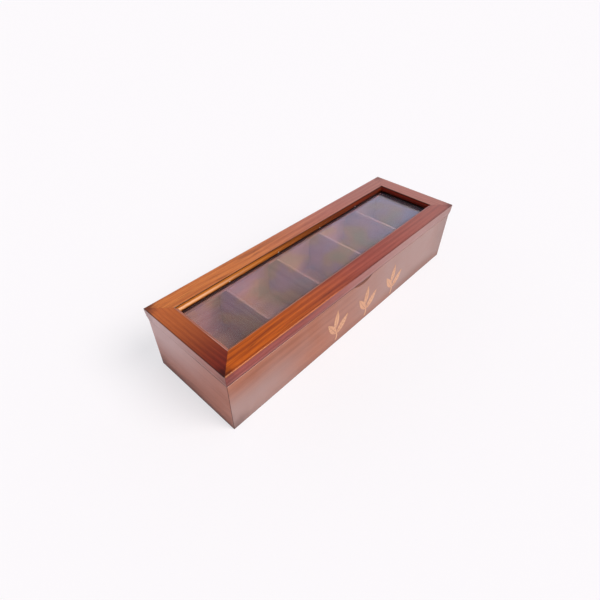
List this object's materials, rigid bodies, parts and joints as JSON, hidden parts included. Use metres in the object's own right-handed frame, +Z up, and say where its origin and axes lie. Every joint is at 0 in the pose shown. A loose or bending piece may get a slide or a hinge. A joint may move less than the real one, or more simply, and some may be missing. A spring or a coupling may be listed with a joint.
{
  "type": "tea bag box",
  "caption": "Long low wooden tea bag box: a row of open compartments under a rear-hinged, mitred lid frame with a glass pane, and a finger notch in the front rim.",
  "frame": {"origin": "on the surface that the box stands on, under the middle of its outline", "axes": "+X along the box to the right, -Y towards the front with the finger notch, +Z up"},
  "size_m": [0.38, 0.1172, 0.0793],
  "materials": {
    "stained_wood": "satin lacquer over a reddish brown stain",
    "divider_wood": "thin stain, satin",
    "pane": "clear float glass",
    "hinge_brass": "plain, slightly dulled",
    "steel_wire": "plain"
  },
  "bodies": {
    "box": {"front_panel": "stained_wood", "rear_panel": "stained_wood", "left_end_panel": "stained_wood", "right_end_panel": "stained_wood", "base_panel": "divider_wood", "divider_1": "divider_wood", "divider_2": "divider_wood", "divider_3": "divider_wood", "divider_4": "divider_wood", "left_hinge_box_leaf": "hinge_brass", "right_hinge_box_leaf": "hinge_brass", "left_hinge_pin": "steel_wire", "right_hinge_pin": "steel_wire", "box_leaf_screws": "hinge_brass"},
    "lid": {"lid_front_rail": "stained_wood", "lid_rear_rail": "stained_wood", "lid_left_rail": "stained_wood", "lid_right_rail": "stained_wood", "lid_glass": "pane", "front_glazing_bead": "stained_wood", "rear_glazing_bead": "stained_wood", "left_glazing_bead": "stained_wood", "right_glazing_bead": "stained_wood", "bead_brads": "steel_wire", "left_hinge_lid_leaf": "hinge_brass", "right_hinge_lid_leaf": "hinge_brass", "lid_leaf_screws": "hinge_brass"}
  },
  "joints": [
    {"name": "lid_hinge", "type": "hinge", "parent": "box", "child": "lid", "pos_m": [0, 0.05721, 0.06455], "axis": [-1, 0, 0], "range_deg": [0, 100]}
  ]
}
